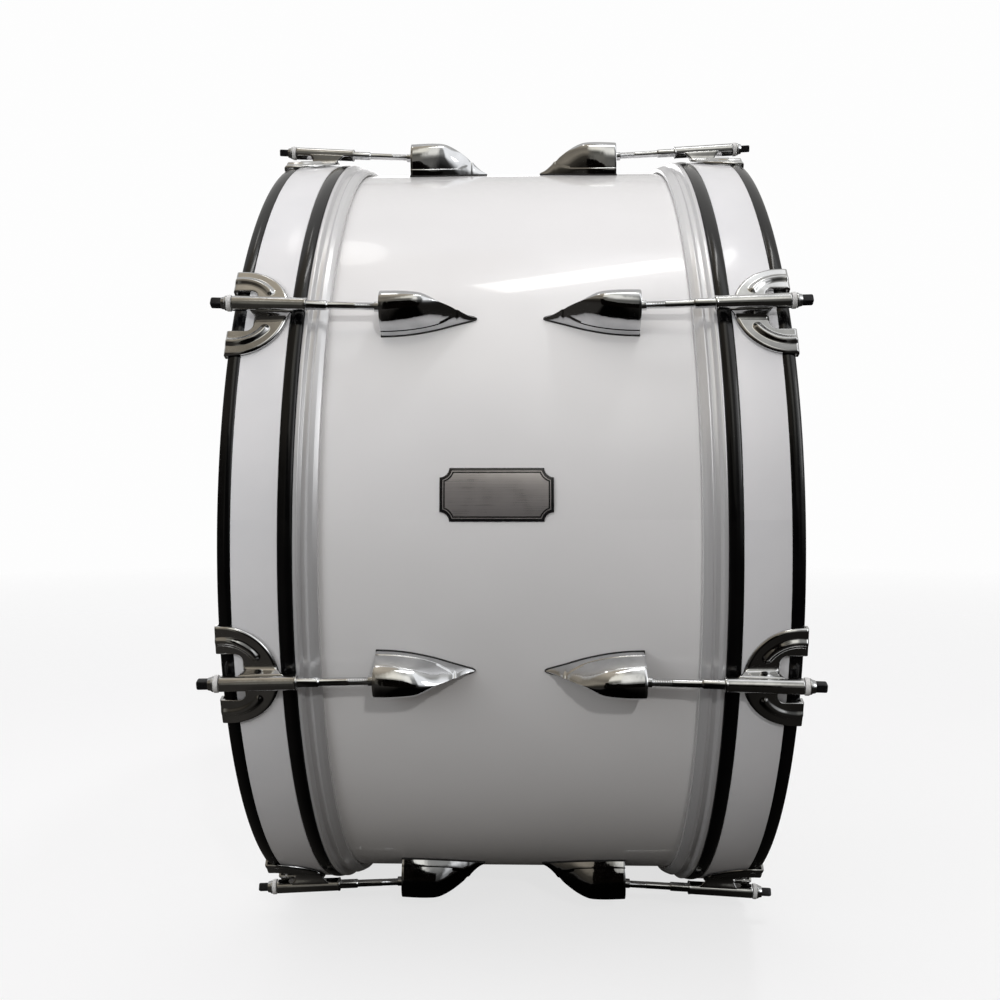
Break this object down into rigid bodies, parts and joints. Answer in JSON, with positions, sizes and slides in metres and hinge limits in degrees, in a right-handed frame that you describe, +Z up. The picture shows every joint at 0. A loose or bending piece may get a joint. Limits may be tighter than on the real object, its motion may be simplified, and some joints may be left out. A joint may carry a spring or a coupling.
{
  "type": "marching bass drum",
  "caption": "Two-headed drum on its side edge, with lacquered wooden hoops drawn in by claws and key rods that screw into bullet-shaped lugs on a wrapped shell.",
  "frame": {"origin": "on the ground below the middle of the drum, midway between the two heads", "axes": "+X along the drum's axis towards the right-hand head, +Z up, and the badge faces -Y"},
  "size_m": [0.3978, 0.6317, 0.6277],
  "materials": {
    "wood": "satin",
    "wrap": "gloss",
    "lacquer": "gloss",
    "inlay": "gloss",
    "alloy": "satin",
    "film": "satin",
    "chrome": "polished",
    "rod_steel": "gloss",
    "badge": "satin"
  },
  "bodies": {
    "shell_body": {"shell": "wood", "shell_wrap": "wrap", "badge": "badge", "carrier_bracket": "chrome", "lug_left_1": "chrome", "lug_left_2": "chrome", "lug_left_3": "chrome", "lug_left_4": "chrome", "lug_left_5": "chrome", "lug_left_6": "chrome", "lug_left_7": "chrome", "lug_left_8": "chrome", "lug_right_1": "chrome", "lug_right_2": "chrome", "lug_right_3": "chrome", "lug_right_4": "chrome", "lug_right_5": "chrome", "lug_right_6": "chrome", "lug_right_7": "chrome", "lug_right_8": "chrome"},
    "left_hoop_set": {"hoop_left": "lacquer", "hoop_inlay_left": "inlay", "flesh_hoop_left": "alloy", "head_left": "film", "claw_left_1": "chrome", "claw_left_2": "chrome", "claw_left_3": "chrome", "claw_left_4": "chrome", "claw_left_5": "chrome", "claw_left_6": "chrome", "claw_left_7": "chrome", "claw_left_8": "chrome"},
    "right_hoop_set": {"hoop_right": "lacquer", "hoop_inlay_right": "inlay", "flesh_hoop_right": "alloy", "head_right": "film", "claw_right_1": "chrome", "claw_right_2": "chrome", "claw_right_3": "chrome", "claw_right_4": "chrome", "claw_right_5": "chrome", "claw_right_6": "chrome", "claw_right_7": "chrome", "claw_right_8": "chrome"},
    "left_rod_1": {"rod_left_1": "rod_steel"},
    "left_rod_2": {"rod_left_2": "rod_steel"},
    "left_rod_3": {"rod_left_3": "rod_steel"},
    "left_rod_4": {"rod_left_4": "rod_steel"},
    "left_rod_5": {"rod_left_5": "rod_steel"},
    "left_rod_6": {"rod_left_6": "rod_steel"},
    "left_rod_7": {"rod_left_7": "rod_steel"},
    "left_rod_8": {"rod_left_8": "rod_steel"},
    "right_rod_1": {"rod_right_1": "rod_steel"},
    "right_rod_2": {"rod_right_2": "rod_steel"},
    "right_rod_3": {"rod_right_3": "rod_steel"},
    "right_rod_4": {"rod_right_4": "rod_steel"},
    "right_rod_5": {"rod_right_5": "rod_steel"},
    "right_rod_6": {"rod_right_6": "rod_steel"},
    "right_rod_7": {"rod_right_7": "rod_steel"},
    "right_rod_8": {"rod_right_8": "rod_steel"}
  },
  "joints": [
    {"name": "left_hoop_travel", "type": "slide", "parent": "shell_body", "child": "left_hoop_set", "axis": [-1, 0, 0], "range_m": [0, 0.018]},
    {"name": "right_hoop_travel", "type": "slide", "parent": "shell_body", "child": "right_hoop_set", "axis": [1, 0, 0], "range_m": [0, 0.018]},
    {"name": "left_rod_1_turn", "type": "hinge", "parent": "left_hoop_set", "child": "left_rod_1", "pos_m": [-0.0865, -0.28628, 0.455], "axis": [-0.999, -0.0407, 0.0201], "range_deg": [0, 6130]},
    {"name": "left_rod_2_turn", "type": "hinge", "parent": "left_hoop_set", "child": "left_rod_2", "pos_m": [-0.0865, -0.1026, 0.61609], "axis": [-0.999, -0.0146, 0.043], "range_deg": [0, 6130]},
    {"name": "left_rod_3_turn", "type": "hinge", "parent": "left_hoop_set", "child": "left_rod_3", "pos_m": [-0.0865, 0.14118, 0.60011], "axis": [-0.999, 0.0201, 0.0407], "range_deg": [0, 6130]},
    {"name": "left_rod_4_turn", "type": "hinge", "parent": "left_hoop_set", "child": "left_rod_4", "pos_m": [-0.0865, 0.30226, 0.41643], "axis": [-0.999, 0.043, 0.0146], "range_deg": [0, 6130]},
    {"name": "left_rod_5_turn", "type": "hinge", "parent": "left_hoop_set", "child": "left_rod_5", "pos_m": [-0.0865, 0.28628, 0.17265], "axis": [-0.999, 0.0407, -0.0201], "range_deg": [0, 6130]},
    {"name": "left_rod_6_turn", "type": "hinge", "parent": "left_hoop_set", "child": "left_rod_6", "pos_m": [-0.0865, 0.1026, 0.01157], "axis": [-0.999, 0.0146, -0.043], "range_deg": [0, 6130]},
    {"name": "left_rod_7_turn", "type": "hinge", "parent": "left_hoop_set", "child": "left_rod_7", "pos_m": [-0.0865, -0.14118, 0.02755], "axis": [-0.999, -0.0201, -0.0407], "range_deg": [0, 6130]},
    {"name": "left_rod_8_turn", "type": "hinge", "parent": "left_hoop_set", "child": "left_rod_8", "pos_m": [-0.0865, -0.30226, 0.21122], "axis": [-0.999, -0.043, -0.0146], "range_deg": [0, 6130]},
    {"name": "right_rod_1_turn", "type": "hinge", "parent": "right_hoop_set", "child": "right_rod_1", "pos_m": [0.0865, -0.28628, 0.455], "axis": [0.999, -0.0407, 0.0201], "range_deg": [0, 6130]},
    {"name": "right_rod_2_turn", "type": "hinge", "parent": "right_hoop_set", "child": "right_rod_2", "pos_m": [0.0865, -0.1026, 0.61609], "axis": [0.999, -0.0146, 0.043], "range_deg": [0, 6130]},
    {"name": "right_rod_3_turn", "type": "hinge", "parent": "right_hoop_set", "child": "right_rod_3", "pos_m": [0.0865, 0.14118, 0.60011], "axis": [0.999, 0.0201, 0.0407], "range_deg": [0, 6130]},
    {"name": "right_rod_4_turn", "type": "hinge", "parent": "right_hoop_set", "child": "right_rod_4", "pos_m": [0.0865, 0.30226, 0.41643], "axis": [0.999, 0.043, 0.0146], "range_deg": [0, 6130]},
    {"name": "right_rod_5_turn", "type": "hinge", "parent": "right_hoop_set", "child": "right_rod_5", "pos_m": [0.0865, 0.28628, 0.17265], "axis": [0.999, 0.0407, -0.0201], "range_deg": [0, 6130]},
    {"name": "right_rod_6_turn", "type": "hinge", "parent": "right_hoop_set", "child": "right_rod_6", "pos_m": [0.0865, 0.1026, 0.01157], "axis": [0.999, 0.0146, -0.043], "range_deg": [0, 6130]},
    {"name": "right_rod_7_turn", "type": "hinge", "parent": "right_hoop_set", "child": "right_rod_7", "pos_m": [0.0865, -0.14118, 0.02755], "axis": [0.999, -0.0201, -0.0407], "range_deg": [0, 6130]},
    {"name": "right_rod_8_turn", "type": "hinge", "parent": "right_hoop_set", "child": "right_rod_8", "pos_m": [0.0865, -0.30226, 0.21122], "axis": [0.999, -0.043, -0.0146], "range_deg": [0, 6130]}
  ],
  "couplings": [
    {"joint": "left_rod_1_turn", "follows": "left_hoop_travel", "rad_per_m": 5936.9},
    {"joint": "left_rod_2_turn", "follows": "left_hoop_travel", "rad_per_m": 5936.9},
    {"joint": "left_rod_3_turn", "follows": "left_hoop_travel", "rad_per_m": 5936.9},
    {"joint": "left_rod_4_turn", "follows": "left_hoop_travel", "rad_per_m": 5936.9},
    {"joint": "left_rod_5_turn", "follows": "left_hoop_travel", "rad_per_m": 5936.9},
    {"joint": "left_rod_6_turn", "follows": "left_hoop_travel", "rad_per_m": 5936.9},
    {"joint": "left_rod_7_turn", "follows": "left_hoop_travel", "rad_per_m": 5936.9},
    {"joint": "left_rod_8_turn", "follows": "left_hoop_travel", "rad_per_m": 5936.9},
    {"joint": "right_rod_1_turn", "follows": "right_hoop_travel", "rad_per_m": 5936.9},
    {"joint": "right_rod_2_turn", "follows": "right_hoop_travel", "rad_per_m": 5936.9},
    {"joint": "right_rod_3_turn", "follows": "right_hoop_travel", "rad_per_m": 5936.9},
    {"joint": "right_rod_4_turn", "follows": "right_hoop_travel", "rad_per_m": 5936.9},
    {"joint": "right_rod_5_turn", "follows": "right_hoop_travel", "rad_per_m": 5936.9},
    {"joint": "right_rod_6_turn", "follows": "right_hoop_travel", "rad_per_m": 5936.9},
    {"joint": "right_rod_7_turn", "follows": "right_hoop_travel", "rad_per_m": 5936.9},
    {"joint": "right_rod_8_turn", "follows": "right_hoop_travel", "rad_per_m": 5936.9}
  ]
}
